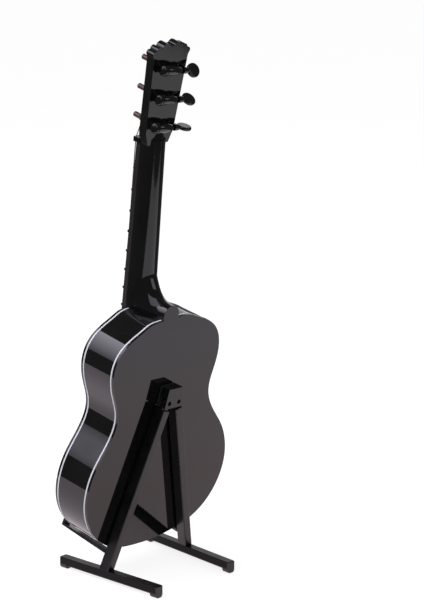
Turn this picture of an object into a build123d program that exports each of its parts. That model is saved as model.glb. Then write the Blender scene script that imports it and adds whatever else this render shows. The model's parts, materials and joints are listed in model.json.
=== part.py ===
"""Miniature classical guitar leaning on a folding two-legged stand.

Millimetres, +Z up. The origin is on the floor under the middle of the object.
The soundboard faces -Y and the back of the guitar faces +Y.
"""
import os
from math import cos, radians, sin

from build123d import *

# Backward lean of the stand's legs and the guitar, and the guitar's sideways tilt on the rest arms
lean = 11.2
sideways_tilt = -5.04
sideways_shift = 0.8
seat_x = 2.63
seat_y = -2.6
seat_z = 8.7

# Guitar body
body_length = 81.0
lower_bout = 62.6
waist = 40.8
upper_bout = 47.0
lower_bout_at = 20.0
waist_at = 51.0
upper_bout_at = 66.0
bottom_radius = 62.0
bottom_half_arc = 17.0
lower_shoulder = (24.5, 7.0)
hip = (28.3, 35.0)
below_waist = (22.3, 44.3)
above_waist = (22.2, 58.5)
upper_shoulder = (20.0, 74.5)
neck_shoulder = (11.0, 79.5)
outline_steps = 30
plate_thickness = 0.9
binding_height = 0.55
binding_proud = 0.1
body_depth = 15.6
rim_wall = 1.4
soundhole_radius = 6.8
soundhole_at = 53.5
rosette_inner = 7.5
rosette_outer = 9.6
rosette_height = 0.2
top_thickness = 1.0
brace_width = 1.2
brace_height = 1.6
brace_places = ((14.0, 44.0), (38.0, 36.0), (64.0, 36.0))
block_gap = 0.2
tail_block_size = (14.0, 3.0)
tail_block_at = 1.2
neck_block_size = (12.0, 6.0)
screw_radius = 0.7
screw_heights = (4.5, 9.5)
screw_head_radius = 1.4
screw_head_height = 0.8
screw_length = 11.4

# Neck, fretboard and nut
neck_joint_y = 81.0
nut_y = 136.2
nut_length = 1.6
nut_width = 9.0
nut_height = 2.9
nut_edge = 0.3
board_end_y = 61.8
board_width_nut = 8.3
board_width_body = 11.2
board_thickness = 1.9
first_fret_y = 127.7
first_fret_gap = 7.3
fret_gap_ratio = 0.968
fret_count = 11
fret_width = 0.9
fret_height = 0.6
neck_depth_nut = 5.1
neck_depth_body = 5.5
neck_side_nut = 0.5
neck_side_body = 1.6
neck_overlap = 4.0
volute_length = 4.5
volute_depth = 3.8
heel_tip_y = 85.6
heel_half_width = 3.3
heel_middle_z = 7.0
heel_middle_half_width = 4.5
heel_middle_tip_y = 89.3
heel_top_drop = 3.5
heel_top_tip_y = 95.0

# Head and tuners
head_base_y = 138.0
head_back_z = 11.9
head_tilt = 6.0
head_thickness = 3.2
head_base = (4.3, -1.8)
head_shoulder = (5.8, 2.3)
head_corner = (7.0, 25.4)
crest_arcs = (
    ((7.05, 26.6), (7.4, 27.6)),
    ((7.5, 28.9), (6.3, 29.2)),
    ((5.3, 30.5), (4.1, 29.7)),
    ((2.6, 31.4), (0.9, 30.6)),
    ((0.45, 30.4), (0.0, 30.35)),
)
tuner_levels = (4.6, 13.9, 23.4)
tuner_height = 2.4
tuner_slant = 7.5
barrel_radius = 1.6
pedestal_width = 2.2
barrel_left = 5.4
barrel_right = -2.2
barrel_rings = (3.8, 4.7)
ring_width = 0.35
ring_proud = 0.15
ring_depth = 0.25
housing_plate = 0.5
housing_margin = 0.4
housing_corner = 0.6
lug_outer = -4.6
lug_thickness = 1.1
lug_radius = 1.05
shaft_bore_end = 3.9
shaft_end = 2.9
shaft_radius = 0.5
running_clearance = 0.05
button_center = -8.0
button_half_length = 2.5
button_half_width = 2.3
button_thickness = 1.2
button_edge = 0.45
collar_radius = 0.95
collar_length = 0.6
collar_gap = 0.15
button_turns = (86.0, 58.0, 34.0)
post_radius = 0.85
post_column = 4.3
post_offset = 1.6
post_length = 4.4
post_seat = 1.8

# Bridge and strings
bridge_y = 24.0
bridge_width = 29.0
bridge_length = 4.8
bridge_height = 1.5
saddle_width = 12.6
saddle_length = 0.8
saddle_height = 2.2
string_radius = 0.16
string_span_nut = 6.6
string_span_bridge = 9.0
string_gap = 0.03

# Stand
pin_x = 2.1
pin_y = 53.0
pin_radius = 0.75
splay = 15.7
leg_width = 3.0
leg_depth = 4.05
leg_length = 70.0
leg_mid_z = -2.475
leg_edge = 0.25
tongue_mid_z = -2.8
tongue_depth = 1.4
tongue_length = 2.7
eye_radius = 1.4
block_top_width = 6.0
block_bottom_width = 8.0
block_bottom = 51.2
block_top = 58.1
block_back_z = -4.5
block_edge = 0.3
slot_back_z = -3.7
slot_front_z = -1.9
web_y = 54.8
pin_recess = 0.3
pad_back_z = -1.1
pad_front_z = -0.3
pad_half_width = 3.4
pad_bottom = 52.0
pad_top = 57.6
pad_corner = 0.8
arm_swing_radius = 53.45
arm_root_thickness = 1.2
arm_tip_thickness = 0.8
arm_front_z = 21.5
lip_thickness = 1.0
lip_rise = 2.5
lip_edge = 0.3
bar_width = 3.0
bar_height = 3.0
bar_toe = 3.8
bar_front = 20.4
bar_back = 23.6
bar_corner = 0.4
bar_bevel = 0.5
foot_pad_width = 2.6
foot_pad_sole = 1.0
foot_pad_bulge = 0.3
foot_pad_height = 1.0
foot_pad_length = 3.0
foot_pad_inset = 0.2

os.makedirs("parts", exist_ok=True)

# The stand's plane lies on the back of the guitar: x across, y up the legs, z to the front
stand = Plane(
    origin=(seat_x, seat_y, seat_z),
    x_dir=(1, 0, 0),
    z_dir=(0, -cos(radians(lean)), sin(radians(lean))),
)

# The guitar's plane is the stand's, turned about the middle of the round lower edge
guitar = Plane(
    stand.location
    * Location((sideways_shift, bottom_radius, 0), (0, 0, sideways_tilt))
    * Location((0, -bottom_radius, 0))
)


def on_stand(x=0.0, y=0.0, z=0.0, turn=(0, 0, 0)):
    """A plane placed in the stand's own frame."""
    return Plane(stand.location * Location((x, y, z), turn))


def on_guitar(x=0.0, y=0.0, z=0.0, turn=(0, 0, 0)):
    """A plane placed in the guitar's own frame: x across, y up the neck, z to the front."""
    return Plane(guitar.location * Location((x, y, z), turn))


def on_head(x=0.0, y=0.0, z=0.0, turn=(0, 0, 0)):
    """A plane placed in the head's frame, whose z=0 is the back face of the head."""
    base = guitar.location * Location((0, head_base_y, head_back_z), (-head_tilt, 0, 0))
    return Plane(base * Location((x, y, z), turn))


def guitar_point(x, y, z):
    """A point of the guitar's own frame, in the object's frame."""
    return (guitar.location * Location((x, y, z))).position


def across_neck(x, y, z):
    """A plane facing across the neck: its x runs up the neck and its y to the front."""
    return Plane(origin=guitar_point(x, y, z), x_dir=guitar.y_dir, z_dir=guitar.x_dir)


def save(builder, label):
    """Name a finished piece and write it to its own file."""
    builder.part.label = label
    export_step(builder.part, f"parts/{label}.step")


bottom_rise = bottom_radius - (bottom_radius**2 - bottom_half_arc**2) ** 0.5
half_outline = Spline(
    (0, 0),
    (bottom_half_arc / 2, bottom_rise / 4),
    (bottom_half_arc, bottom_rise),
    lower_shoulder,
    (lower_bout / 2, lower_bout_at),
    hip,
    below_waist,
    (waist / 2, waist_at),
    above_waist,
    (upper_bout / 2, upper_bout_at),
    upper_shoulder,
    neck_shoulder,
    (0, body_length),
    tangents=[(1, 0), (-1, 0)],
)


def body_face(inset=0.0):
    """The guitar's outline as a face, drawn in by an inset, or let out by a negative one."""
    points = []
    for step in range(outline_steps + 1):
        along = step / outline_steps
        heading = half_outline % along
        inward = Vector(-heading.Y, heading.X)
        points.append(half_outline @ along + inward * inset)
    with BuildSketch() as face:
        with BuildLine():
            Spline(*points, tangents=[(1, 0), (-1, 0)])
            mirror(about=Plane.YZ)
        make_face()
    return face.sketch


outline = body_face()
binding_outline = body_face(-binding_proud)
inner_outline = body_face(rim_wall)

back_binding_z = plate_thickness
rim_bottom_z = back_binding_z + binding_height
rim_top_z = body_depth - top_thickness - binding_height
board_bottom_z = rim_top_z + binding_height


def fretboard_half_width(y):
    """Half the fretboard's width at a height along the neck."""
    along = (y - neck_joint_y) / (nut_y - neck_joint_y)
    return (board_width_body + along * (board_width_nut - board_width_body)) / 2


# Back plate, with the tongue that covers the end of the heel
with BuildPart() as back_plate:
    with BuildSketch(guitar):
        add(outline)
        with Locations((0, heel_tip_y - heel_half_width)):
            Circle(heel_half_width)
            Rectangle(2 * heel_half_width, neck_overlap, align=(Align.CENTER, Align.MAX))
    extrude(amount=plate_thickness)
save(back_plate, "back_plate")

neck_block_at = body_length - rim_wall - neck_block_size[1]


def screw_plane(z):
    """The plane where a neck screw starts, inside the neck block, facing up the neck."""
    return on_guitar(y=neck_block_at, z=z, turn=(-90, 0, 0))


# The sides, drilled at the top for the two neck screws
with BuildPart() as rim_sides:
    with BuildSketch(on_guitar(z=rim_bottom_z)):
        add(outline)
        add(inner_outline, mode=Mode.SUBTRACT)
    extrude(amount=rim_top_z - rim_bottom_z)
    for screw_z in screw_heights:
        with BuildSketch(screw_plane(screw_z)):
            Circle(screw_radius)
        extrude(amount=screw_length, mode=Mode.SUBTRACT)
save(rim_sides, "rim_sides")

# White lines along the two edges of the sides
for binding_z, label in ((back_binding_z, "back_binding"), (rim_top_z, "front_binding")):
    with BuildPart() as binding:
        with BuildSketch(on_guitar(z=binding_z)):
            add(binding_outline)
            add(inner_outline, mode=Mode.SUBTRACT)
        extrude(amount=binding_height)
    save(binding, label)

# Soundboard with its soundhole
with BuildPart() as soundboard:
    with BuildSketch(on_guitar(z=board_bottom_z)):
        add(outline)
        with Locations((0, soundhole_at)):
            Circle(soundhole_radius, mode=Mode.SUBTRACT)
    extrude(amount=body_depth - board_bottom_z)
save(soundboard, "soundboard")

# Rosette laid round the soundhole, cut off where the fretboard ends
with BuildPart() as rosette:
    with BuildSketch(on_guitar(z=body_depth)):
        with Locations((0, soundhole_at)):
            Circle(rosette_outer)
            Circle(rosette_inner, mode=Mode.SUBTRACT)
        with Locations((0, board_end_y)):
            Rectangle(
                2 * board_width_body,
                2 * rosette_outer,
                align=(Align.CENTER, Align.MIN),
                mode=Mode.SUBTRACT,
            )
    extrude(amount=rosette_height)
save(rosette, "rosette")

# Braces glued under the soundboard and inside the back
with BuildPart() as soundboard_braces:
    for brace_y, brace_span in brace_places:
        with BuildSketch(on_guitar(y=brace_y, z=board_bottom_z)):
            Rectangle(brace_span, brace_width)
        extrude(amount=-brace_height)
save(soundboard_braces, "soundboard_braces")

with BuildPart() as back_braces:
    for brace_y, brace_span in brace_places:
        with BuildSketch(on_guitar(y=brace_y, z=plate_thickness)):
            Rectangle(brace_span, brace_width)
        extrude(amount=brace_height)
save(back_braces, "back_braces")

# Blocks inside the two ends of the body
with BuildPart() as tail_block:
    with BuildSketch(on_guitar(z=plate_thickness + block_gap)):
        with Locations((0, tail_block_at)):
            Rectangle(*tail_block_size, align=(Align.CENTER, Align.MIN))
        add(inner_outline, mode=Mode.INTERSECT)
    extrude(amount=board_bottom_z - plate_thickness - 2 * block_gap)
save(tail_block, "tail_block")

with BuildPart() as neck_block:
    with BuildSketch(on_guitar(z=plate_thickness + block_gap)):
        with Locations((0, neck_block_at)):
            Rectangle(*neck_block_size, align=(Align.CENTER, Align.MIN))
        add(inner_outline, mode=Mode.INTERSECT)
    extrude(amount=board_bottom_z - plate_thickness - 2 * block_gap)
    for screw_z in screw_heights:
        with BuildSketch(screw_plane(screw_z)):
            Circle(screw_radius)
        extrude(amount=screw_length, mode=Mode.SUBTRACT)
save(neck_block, "neck_block")

with BuildPart() as neck_screws:
    for screw_z in screw_heights:
        with BuildSketch(screw_plane(screw_z)):
            Circle(screw_radius)
        extrude(amount=screw_length)
        with BuildSketch(screw_plane(screw_z)):
            Circle(screw_head_radius)
        extrude(amount=-screw_head_height)
save(neck_screws, "neck_screws")


def neck_section(y, half_width, side, depth):
    """A D-shaped section of the neck, flat towards the fretboard."""
    with BuildSketch(on_guitar(y=y, z=body_depth, turn=(90, 0, 0))) as section:
        with BuildLine():
            Line((-half_width, 0), (half_width, 0))
            Line((half_width, 0), (half_width, -side))
            ThreePointArc((half_width, -side), (0, -depth), (-half_width, -side))
            Line((-half_width, -side), (-half_width, 0))
        make_face()
    return section.sketch


def heel_section(z, half_width, tip):
    """A tongue-shaped section of the heel, round at its outer end."""
    shoulder = tip - half_width
    root = neck_joint_y - neck_overlap
    with BuildSketch(on_guitar(z=z)) as section:
        with BuildLine():
            Line((half_width, root), (half_width, shoulder))
            ThreePointArc((half_width, shoulder), (0, tip), (-half_width, shoulder))
            Line((-half_width, shoulder), (-half_width, root))
            Line((-half_width, root), (half_width, root))
        make_face()
    return section.sketch


# Neck with its heel and its head, all one piece
with BuildPart() as neck:
    neck_start = neck_joint_y - neck_overlap
    nut_half = board_width_nut / 2
    body_half = fretboard_half_width(neck_start)
    loft(
        sections=[
            neck_section(neck_start, body_half, neck_side_body, neck_depth_body),
            neck_section(nut_y + nut_length, nut_half, neck_side_nut, neck_depth_nut),
        ]
    )
    loft(
        sections=[
            neck_section(nut_y, nut_half, neck_side_nut, neck_depth_nut),
            neck_section(nut_y + volute_length, nut_half, neck_side_nut, volute_depth),
        ],
        ruled=True,
    )
    loft(
        sections=[
            heel_section(body_depth - heel_top_drop, body_half - binding_proud, heel_top_tip_y),
            heel_section(heel_middle_z, heel_middle_half_width, heel_middle_tip_y),
            heel_section(plate_thickness, heel_half_width, heel_tip_y),
        ]
    )
    with BuildSketch(guitar):
        add(binding_outline)
    extrude(amount=body_depth, mode=Mode.SUBTRACT)
    with BuildSketch(on_head()):
        with BuildLine():
            Polyline(head_base, head_shoulder, head_corner)
            arc_start = head_corner
            for through, end in crest_arcs:
                ThreePointArc(arc_start, through, end)
                arc_start = end
            mirror(about=Plane.YZ)
            Line(head_base, (-head_base[0], head_base[1]))
        make_face()
    extrude(amount=head_thickness)
    with BuildSketch(on_guitar(z=body_depth)):
        with Locations((0, nut_y)):
            Rectangle(4 * nut_width, neck_joint_y, align=(Align.CENTER, Align.MIN))
    extrude(amount=4 * nut_height, mode=Mode.SUBTRACT)
    for level in tuner_levels:
        for side in (1, -1):
            seat = (side * post_column, level + post_offset, head_thickness - post_seat)
            with BuildSketch(on_head(*seat)):
                Circle(post_radius)
            extrude(amount=2 * post_seat, mode=Mode.SUBTRACT)
    for screw_z in screw_heights:
        with BuildSketch(screw_plane(screw_z)):
            Circle(screw_radius)
        extrude(amount=screw_length, mode=Mode.SUBTRACT)
save(neck, "neck")

# Fretboard, glued on the neck and over the top of the soundboard
with BuildPart() as fretboard:
    with BuildSketch(on_guitar(z=body_depth)):
        with BuildLine():
            Polyline(
                (fretboard_half_width(board_end_y), board_end_y),
                (fretboard_half_width(nut_y), nut_y),
                (-fretboard_half_width(nut_y), nut_y),
                (-fretboard_half_width(board_end_y), board_end_y),
                close=True,
            )
        make_face()
    extrude(amount=board_thickness)
save(fretboard, "fretboard")

# Frets, each a low half-round bar as long as the board is wide there
board_top_z = body_depth + board_thickness
with BuildPart() as frets:
    fret_y = first_fret_y
    fret_gap = first_fret_gap
    for _ in range(fret_count):
        fret_half = fretboard_half_width(fret_y)
        with BuildSketch(across_neck(-fret_half, fret_y, board_top_z)):
            with BuildLine():
                Line((-fret_width / 2, 0), (fret_width / 2, 0))
                ThreePointArc((fret_width / 2, 0), (0, fret_height), (-fret_width / 2, 0))
            make_face()
        extrude(amount=2 * fret_half)
        fret_y -= fret_gap
        fret_gap *= fret_gap_ratio
save(frets, "frets")

# Nut, a bar across the top end of the fretboard
with BuildPart() as nut:
    with BuildSketch(on_guitar(z=body_depth)):
        with Locations((0, nut_y)):
            Rectangle(nut_width, nut_length, align=(Align.CENTER, Align.MIN))
    extrude(amount=nut_height)
    fillet(nut.edges().group_by(Axis.Z)[-1], radius=nut_edge)
save(nut, "nut")

# Bridge with its saddle
with BuildPart() as bridge:
    with BuildSketch(on_guitar(z=body_depth)):
        with Locations((0, bridge_y)):
            SlotOverall(bridge_width, bridge_length)
    extrude(amount=bridge_height)
    with BuildSketch(on_guitar(z=body_depth + bridge_height / 2)):
        with Locations((0, bridge_y + bridge_length / 4)):
            Rectangle(saddle_width, saddle_length)
    extrude(amount=bridge_height, mode=Mode.SUBTRACT)
save(bridge, "bridge")

with BuildPart() as saddle:
    with BuildSketch(on_guitar(z=body_depth + bridge_height / 2)):
        with Locations((0, bridge_y + bridge_length / 4)):
            Rectangle(saddle_width, saddle_length)
    extrude(amount=saddle_height - bridge_height / 2)
save(saddle, "saddle")

# String posts, two columns on the front of the head
with BuildPart() as string_posts:
    for level in tuner_levels:
        for side in (1, -1):
            seat = (side * post_column, level + post_offset, head_thickness - post_seat)
            with BuildSketch(on_head(*seat)):
                Circle(post_radius)
            extrude(amount=post_seat + post_length)
save(string_posts, "string_posts")


def string_set(side):
    """The strings on one half of the neck, each from the bridge over saddle and nut to its post."""
    saddle_y = bridge_y + bridge_length / 4
    saddle_z = body_depth + saddle_height + string_radius + string_gap
    nut_z = body_depth + nut_height + string_radius + string_gap
    tie_y = bridge_y - bridge_length / 4
    tie_z = body_depth + bridge_height - string_radius
    post_x = side * (post_column - post_radius - string_radius / 2)
    with BuildPart() as strings:
        for number, level in enumerate(reversed(tuner_levels)):
            share = side * (2 * number + 1) / 5
            bridge_x = share * string_span_bridge / 2
            tie = guitar_point(bridge_x, tie_y, tie_z)
            over_saddle = guitar_point(bridge_x, saddle_y, saddle_z)
            over_nut = guitar_point(share * string_span_nut / 2, nut_y + nut_length / 2, nut_z)
            post = on_head(post_x, level + post_offset, head_thickness + post_length / 3).origin
            for start, end in ((tie, over_saddle), (over_saddle, over_nut), (over_nut, post)):
                with BuildSketch(Plane(origin=start, z_dir=end - start)):
                    Circle(string_radius)
                extrude(amount=(end - start).length)
            with Locations(over_saddle, over_nut):
                Sphere(string_radius)
    return strings


save(string_set(1), "treble_strings")
save(string_set(-1), "bass_strings")


def on_tuner(level, x=0.0, z=0.0, turn=(0, 0, 0)):
    """A plane placed on the back of the head at a tuner, whose x runs along the tuner's shaft."""
    slanted = on_head(0, level, 0, turn=(0, 0, tuner_slant))
    return Plane(slanted.location * Location((x, 0, z), turn))


def tuner_housing(level):
    """A tuner's fixed half: a plate on the head's back, a ringed barrel and a bearing lug."""
    plate_left = barrel_left + housing_margin
    with BuildPart() as housing:
        with BuildSketch(on_tuner(level, (plate_left + lug_outer) / 2)):
            RectangleRounded(plate_left - lug_outer, 2 * barrel_radius, housing_corner)
        extrude(amount=-housing_plate)
        with BuildSketch(on_tuner(level, barrel_right, -tuner_height, turn=(0, 90, 0))):
            Circle(barrel_radius)
        extrude(amount=barrel_left - barrel_right)
        with BuildSketch(on_tuner(level, (barrel_left + barrel_right) / 2)):
            Rectangle(barrel_left - barrel_right, pedestal_width)
        extrude(amount=-tuner_height)
        for ring_x in barrel_rings:
            with BuildSketch(on_tuner(level, ring_x, -tuner_height, turn=(0, 90, 0))):
                Circle(barrel_radius + ring_proud)
                Circle(barrel_radius - ring_depth, mode=Mode.SUBTRACT)
            extrude(amount=ring_width)
        with BuildSketch(on_tuner(level, lug_outer, -tuner_height, turn=(0, 90, 0))):
            Circle(lug_radius)
            with Locations((-tuner_height / 2, 0)):
                Rectangle(tuner_height, 2 * lug_radius)
        extrude(amount=lug_thickness)
        with BuildSketch(on_tuner(level, lug_outer, -tuner_height, turn=(0, 90, 0))):
            Circle(shaft_radius + running_clearance)
        extrude(amount=shaft_bore_end - lug_outer, mode=Mode.SUBTRACT)
        with BuildSketch(on_tuner(level)):
            Rectangle(4 * plate_left, 4 * barrel_radius)
        extrude(amount=2 * barrel_radius, mode=Mode.SUBTRACT)
    return housing


def tuner_button(level, turn):
    """A tuner's turning half: shaft, collar and oval button, turned about the shaft."""
    with BuildPart() as button:
        with BuildSketch(on_tuner(level, button_center, -tuner_height, turn=(turn, 0, 0))):
            Ellipse(button_half_length, button_half_width)
        extrude(amount=button_thickness / 2, both=True)
        fillet(button.edges().filter_by(GeomType.ELLIPSE), radius=button_edge)
        with BuildSketch(on_tuner(level, button_center, -tuner_height, turn=(0, 90, 0))):
            Circle(shaft_radius)
        extrude(amount=shaft_end - button_center)
        with BuildSketch(on_tuner(level, lug_outer - collar_gap, -tuner_height, turn=(0, 90, 0))):
            Circle(collar_radius)
        extrude(amount=-collar_length)
    return button


for number, level in enumerate(tuner_levels, start=1):
    save(tuner_housing(level), f"tuner_housing_{number}")
    save(tuner_button(level, button_turns[number - 1]), f"tuner_button_{number}")

# Stand: the hinge block at the top, narrower upwards, with a slot at the bottom for the two leg tongues
with BuildPart() as hinge_block:
    with BuildSketch(on_stand(z=block_back_z)):
        with BuildLine():
            Polyline(
                (block_bottom_width / 2, block_bottom),
                (block_top_width / 2, block_top),
                (-block_top_width / 2, block_top),
                (-block_bottom_width / 2, block_bottom),
                close=True,
            )
        make_face()
    extrude(amount=pad_back_z - block_back_z)
    chamfer(hinge_block.edges().group_by(Axis.Z)[-1], length=block_edge)
    with BuildSketch(on_stand(y=web_y, z=slot_back_z)):
        Rectangle(2 * block_bottom_width, block_top, align=(Align.CENTER, Align.MAX))
    extrude(amount=slot_front_z - slot_back_z, mode=Mode.SUBTRACT)
    for side in (1, -1):
        with BuildSketch(on_stand(side * pin_x, pin_y, block_back_z)):
            Circle(pin_radius)
        extrude(amount=pad_back_z - block_back_z, mode=Mode.SUBTRACT)
save(hinge_block, "hinge_block")

# Pad on the front of the block, where the guitar's back leans
with BuildPart() as rest_pad:
    with BuildSketch(on_stand(y=(pad_bottom + pad_top) / 2, z=pad_back_z)):
        RectangleRounded(2 * pad_half_width, pad_top - pad_bottom, pad_corner)
    extrude(amount=pad_front_z - pad_back_z)
save(rest_pad, "rest_pad")


def leg_frame(side, along=0.0, z=leg_mid_z, turn=(0, 0, 0)):
    """A plane in a leg's frame: origin at its pin, -y down the leg, splayed outwards."""
    base = stand.location * Location((side * pin_x, pin_y, z), (0, 0, side * splay))
    return Plane(base * Location((0, along, 0), turn))


bar_top_z = foot_pad_height + bar_height


def make_leg(side):
    """A leg: an eye and a thin tongue in the block, then a square bar down to its foot bar."""
    with BuildPart() as leg:
        with BuildSketch(leg_frame(side, -tongue_length, leg_mid_z - leg_depth / 2)):
            Rectangle(leg_width, leg_length, align=(Align.CENTER, Align.MAX))
        extrude(amount=leg_depth)
        down = Axis(leg_frame(side).origin, leg_frame(side).y_dir)
        chamfer(leg.edges().filter_by(down), length=leg_edge)
        with BuildSketch(leg_frame(side, 0, tongue_mid_z - tongue_depth / 2)):
            Circle(eye_radius)
            Rectangle(2 * eye_radius, 2 * tongue_length, align=(Align.CENTER, Align.MAX))
        extrude(amount=tongue_depth)
        with BuildSketch(leg_frame(side, 0, leg_mid_z - leg_depth)):
            Circle(pin_radius + running_clearance)
        extrude(amount=2 * leg_depth, mode=Mode.SUBTRACT)
        split(bisect_by=Plane.XY.offset(bar_top_z), keep=Keep.TOP)
    return leg


def make_pin(side):
    """A hinge pin through the block and one leg's eye."""
    with BuildPart() as pin:
        with BuildSketch(on_stand(side * pin_x, pin_y, block_back_z + pin_recess)):
            Circle(pin_radius)
        extrude(amount=pad_back_z - block_back_z - pin_recess)
    return pin


def make_arm(side):
    """A rest arm: a tapering flat bar square to the leg, with a lip at its front end."""
    root_z = leg_mid_z + leg_depth / 2
    lip_z = arm_front_z - lip_thickness
    edge = leg_frame(side, -arm_swing_radius, 0)
    profile = Plane(origin=edge.origin, x_dir=edge.z_dir, z_dir=edge.x_dir)
    with BuildPart() as arm:
        with BuildSketch(profile):
            with BuildLine():
                Polyline(
                    (root_z, 0),
                    (root_z, arm_root_thickness),
                    (arm_front_z, arm_tip_thickness),
                    (arm_front_z, -lip_rise),
                    (lip_z, -lip_rise),
                    (lip_z, 0),
                    close=True,
                )
            make_face()
        extrude(amount=leg_width / 2, both=True)
        across = Axis(edge.origin, edge.x_dir)
        fillet(arm.edges().filter_by(across).group_by(Axis.Z)[-1], radius=lip_edge)
    return arm


foot_run = (leg_frame(1).origin.Z - bar_top_z) / (cos(radians(lean)) * cos(radians(splay)))


def bar_plane(side, z):
    """A level plane at the foot of a leg, turned so that the foot bars close in towards the back."""
    foot = leg_frame(side, -foot_run).origin
    return Plane(Location((foot.X, foot.Y, z), (0, 0, side * bar_toe)))


def make_foot_bar(side):
    """A level bar under a leg, with bevelled ends and edges."""
    with BuildPart() as bar:
        with BuildSketch(bar_plane(side, foot_pad_height)):
            with Locations((0, -bar_front)):
                Rectangle(bar_width, bar_front + bar_back, align=(Align.CENTER, Align.MIN))
        extrude(amount=bar_height)
        chamfer(bar.edges().filter_by(Axis.Z), length=bar_corner)
        chamfer(bar.edges().group_by(Axis.Z)[0], length=bar_bevel)
    return bar


def make_foot_pads(side):
    """Two feet under the ends of a foot bar, lying along it, round at the sides and flat at the sole."""
    half_width = foot_pad_width / 2
    half_sole = foot_pad_sole / 2
    cheek = half_width - foot_pad_bulge * (half_width - half_sole)
    with BuildPart() as pads:
        for place in (foot_pad_inset - bar_front, bar_back - foot_pad_inset - foot_pad_length):
            with BuildSketch(Plane(bar_plane(side, 0).location * Location((0, place, 0), (-90, 0, 0)))):
                with BuildLine():
                    Line((half_width, -foot_pad_height), (-half_width, -foot_pad_height))
                    Line((-half_sole, 0), (half_sole, 0))
                    for end in (1, -1):
                        ThreePointArc(
                            (end * half_width, -foot_pad_height),
                            (end * cheek, -foot_pad_bulge * foot_pad_height),
                            (end * half_sole, 0),
                        )
                make_face()
            extrude(amount=foot_pad_length)
    return pads


for side, hand in ((1, "left"), (-1, "right")):
    save(make_leg(side), f"{hand}_leg")
    save(make_pin(side), f"{hand}_hinge_pin")
    save(make_arm(side), f"{hand}_rest_arm")
    save(make_foot_bar(side), f"{hand}_foot_bar")
    save(make_foot_pads(side), f"{hand}_foot_pads")
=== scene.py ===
"""Dresses the guitar and its stand with finishes and small parts, and sets the studio round them."""
import json
import math

import bmesh
import bpy
from mathutils import Matrix, Vector

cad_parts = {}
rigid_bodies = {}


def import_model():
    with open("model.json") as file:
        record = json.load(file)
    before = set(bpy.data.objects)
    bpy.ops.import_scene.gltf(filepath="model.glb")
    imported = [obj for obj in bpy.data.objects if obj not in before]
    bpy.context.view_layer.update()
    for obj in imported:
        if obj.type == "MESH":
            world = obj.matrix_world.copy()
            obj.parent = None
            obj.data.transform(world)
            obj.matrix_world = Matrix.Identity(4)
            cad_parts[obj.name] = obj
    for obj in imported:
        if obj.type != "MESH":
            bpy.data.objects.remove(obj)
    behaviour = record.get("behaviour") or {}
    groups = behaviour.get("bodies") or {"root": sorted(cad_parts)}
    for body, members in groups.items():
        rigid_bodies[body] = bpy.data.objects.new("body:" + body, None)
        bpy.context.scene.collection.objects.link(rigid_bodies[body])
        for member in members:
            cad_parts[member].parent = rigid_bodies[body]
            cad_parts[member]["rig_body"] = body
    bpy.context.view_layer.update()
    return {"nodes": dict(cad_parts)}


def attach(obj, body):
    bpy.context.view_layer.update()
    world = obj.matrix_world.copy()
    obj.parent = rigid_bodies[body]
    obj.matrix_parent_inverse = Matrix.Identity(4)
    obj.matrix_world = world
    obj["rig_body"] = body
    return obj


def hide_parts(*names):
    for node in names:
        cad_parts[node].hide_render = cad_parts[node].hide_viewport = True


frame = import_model()

bl_info = {
    "name": "Guitar on stand",
    "version": (1, 0, 0),
    "blender": (4, 5, 0),
    "location": "3D View > Sidebar > Guitar",
    "description": "Finishes, small parts and studio for a miniature guitar on its folding stand",
    "category": "Object",
}

# The object's sizes are written in millimetres and its turns in degrees
MM = 0.001


def place(x=0.0, y=0.0, z=0.0):
    """A move in millimetres."""
    return Matrix.Translation(Vector((x, y, z)) * MM)


def turn(degrees, axis):
    """A turn about one axis."""
    return Matrix.Rotation(math.radians(degrees), 4, axis)


# The frames of the stand, the guitar, its head and a tuner: x across, y up the neck, z to the front
LEAN = 11.2
STAND = place(2.63, -2.6, 8.7) @ turn(90 - LEAN, "X")
GUITAR = STAND @ place(0.8, 62.0) @ turn(-5.04, "Z") @ place(0, -62.0)
HEAD = GUITAR @ place(0, 138.0, 11.9) @ turn(-6.0, "X")
TUNER_LEVELS = (4.6, 13.9, 23.4)
TUNER_SLANT = 7.5
TUNER_HEIGHT = 2.4
POST_COLUMN = 4.3
POST_OFFSET = 1.6
POST_EDGE = 0.18
HEAD_THICKNESS = 3.2
BODY_DEPTH = 15.6

# Neck shaft: its ends and the run to the nut, then its sizes at the body and at the nut
SHAFT_START = 77.0
SHAFT_END = 130.0
NUT_RUN = 60.8
SHAFT_HALF_WIDTH = (5.705, 4.15)
SHAFT_SIDE = (1.6, 0.5)
SHAFT_DEPTH = (5.5, 5.1)

# Heel: level and height, half width and how far it spreads, tip and how far it sweeps along the neck
HEEL_LEVEL = 0.9
HEEL_HEIGHT = 12.3
HEEL_HALF_WIDTH = 3.3
HEEL_SPREAD = 1.65
HEEL_TIP = 85.6
HEEL_SWEEP = 17.9

# Fretboard: thickness, then its places along the neck and its widths at the body and at the nut
BOARD_THICKNESS = 1.9
BOARD_PLACES = (81.0, 136.2)
BOARD_WIDTHS = (11.2, 8.3)
FIRST_FRET = 127.7
FRET_GAP = 7.3
FRET_RATIO = 0.968

# Rosette: its middle up the body, a tile, and how far above the middle the fretboard covers the tiles
ROSETTE_MIDDLE = 53.5
TILE = (0.62, 0.32, 0.2)
TILE_LIMIT = 7.7

# String coils on the posts, with a pitch in string radii
COIL_RADIUS = 0.96
COIL_START = 0.5
COIL_PITCH = 2.05

# Screws on the tuner plates, with their height as a share of their radius
SCREW_ROW = -2.85
SCREW_SPREAD = 1.05
SCREW_SLOT = 0.26
SCREW_FLATNESS = 0.55

# Tuner barrel along its shaft, with the waist and the fall at the collar's end as shares of the girth
BARREL_OPEN = -2.2
BARREL_GEAR = 1.8
BARREL_HALF_LENGTH = 5.2
BARREL_WAIST = 0.1
COLLAR = (3.79, 5.06)
COLLAR_ROUND = 0.34
COLLAR_FALL = 0.2
BORE_RADIUS = 0.6
PLATE_THICKNESS = 0.5

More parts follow.
